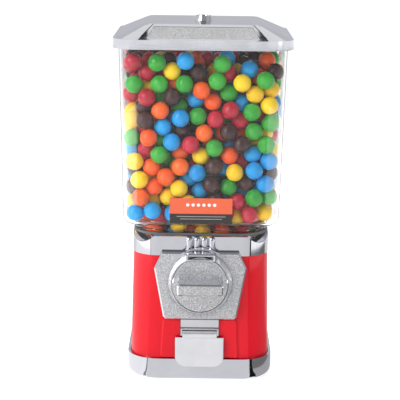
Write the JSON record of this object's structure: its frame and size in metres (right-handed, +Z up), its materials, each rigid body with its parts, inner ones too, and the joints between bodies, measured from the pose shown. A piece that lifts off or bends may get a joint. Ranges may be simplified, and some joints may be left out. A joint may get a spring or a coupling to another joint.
{
  "type": "capsule toy vendor",
  "caption": "Countertop gumball and capsule vendor: square clear globe on a painted body, with a coin dial, product wheel, chute door and lift-off locking lid.",
  "frame": {"origin": "centre of the tray's flat underside, on the surface the vendor stands on", "axes": "+Z up, the coin dial and the chute door face -Y, +X to the right seen from the front"},
  "size_m": [0.206, 0.224, 0.425],
  "materials": {
    "chrome_tray": "polished",
    "red_paint": "gloss",
    "chrome_collar": "polished",
    "plated_lid": "polished",
    "cast_panel": "satin",
    "cast_plate": "satin",
    "cast_dial": "satin",
    "chrome_trim": "polished",
    "chute_plate": "satin",
    "zinc_steel": "satin",
    "cast_gears": "matte",
    "wheel_plastic": "matte",
    "brush_bristle": "matte",
    "globe_clear": "gloss",
    "gasket_rubber": "matte",
    "card_print": "satin",
    "gum_red": "gloss",
    "gum_orange": "gloss",
    "gum_yellow": "gloss",
    "gum_green": "gloss",
    "gum_blue": "gloss",
    "gum_brown": "gloss"
  },
  "bodies": {
    "cabinet": {"base_tray": "chrome_tray", "body_shell": "red_paint", "top_collar": "chrome_collar", "wheel_pan": "wheel_plastic", "globe": "globe_clear", "globe_gasket": "gasket_rubber", "info_card": "card_print", "centre_rod": "zinc_steel", "rod_nuts": "zinc_steel", "rod_washer": "zinc_steel", "wheel_keeper": "wheel_plastic", "pocket_shield": "zinc_steel", "wheel_brushes": "brush_bristle", "coin_faceplate": "cast_plate", "coin_slot_block": "chrome_trim", "mech_housing": "cast_gears", "mech_back_plate": "zinc_steel", "mech_studs": "zinc_steel", "mech_wing_nuts": "zinc_steel", "shaft_bushing": "wheel_plastic", "pawl_pin": "zinc_steel", "chute_channel": "zinc_steel", "chute_hood": "chute_plate", "door_pin": "zinc_steel", "gumballs_red": "gum_red", "gumballs_orange": "gum_orange", "gumballs_yellow": "gum_yellow", "gumballs_green": "gum_green", "gumballs_blue": "gum_blue", "gumballs_brown": "gum_brown"},
    "handle": {"turn_handle": "cast_dial", "drive_shaft": "zinc_steel", "shaft_clip": "zinc_steel", "coin_wheel": "cast_gears", "ratchet_wheel": "cast_gears", "drive_pinion": "cast_gears"},
    "product_wheel": {"product_wheel": "wheel_plastic", "crown_gear": "wheel_plastic", "pocket_gumballs": "gum_orange"},
    "chute_door": {"chute_door": "chute_plate"},
    "lid": {"lid": "plated_lid", "lid_panel": "cast_panel", "lock_housing": "chrome_trim", "lock_nut": "zinc_steel"},
    "lock_barrel": {"lock_barrel": "chrome_trim"},
    "ratchet_pawl": {"ratchet_pawl": "cast_gears"}
  },
  "joints": [
    {"name": "handle_turn", "type": "hinge", "parent": "cabinet", "child": "handle", "pos_m": [0, -0.0975, 0.1205], "axis": [0, 1, 0], "continuous": true},
    {"name": "wheel_turn", "type": "hinge", "parent": "cabinet", "child": "product_wheel", "pos_m": [0, 0, 0.146], "axis": [0, 0, 1], "continuous": true},
    {"name": "door_swing", "type": "hinge", "parent": "cabinet", "child": "chute_door", "pos_m": [0, -0.086, 0.0586], "axis": [-1, 0, 0], "range_deg": [0, 75]},
    {"name": "lid_lift", "type": "slide", "parent": "cabinet", "child": "lid", "axis": [0, 0, 1], "range_m": [0, 0.06]},
    {"name": "lock_turn", "type": "hinge", "parent": "lid", "child": "lock_barrel", "pos_m": [0, 0, 0.4195], "axis": [0, 0, 1], "range_deg": [0, 90]},
    {"name": "pawl_lift", "type": "hinge", "parent": "cabinet", "child": "ratchet_pawl", "pos_m": [-0.0243, -0.0817, 0.1205], "axis": [0, -1, 0], "range_deg": [0, 6], "stiffness_Nm_per_rad": 0.02, "springref_deg": -2.86}
  ],
  "couplings": [
    {"joint": "wheel_turn", "follows": "handle_turn", "ratio": 0.16667}
  ]
}
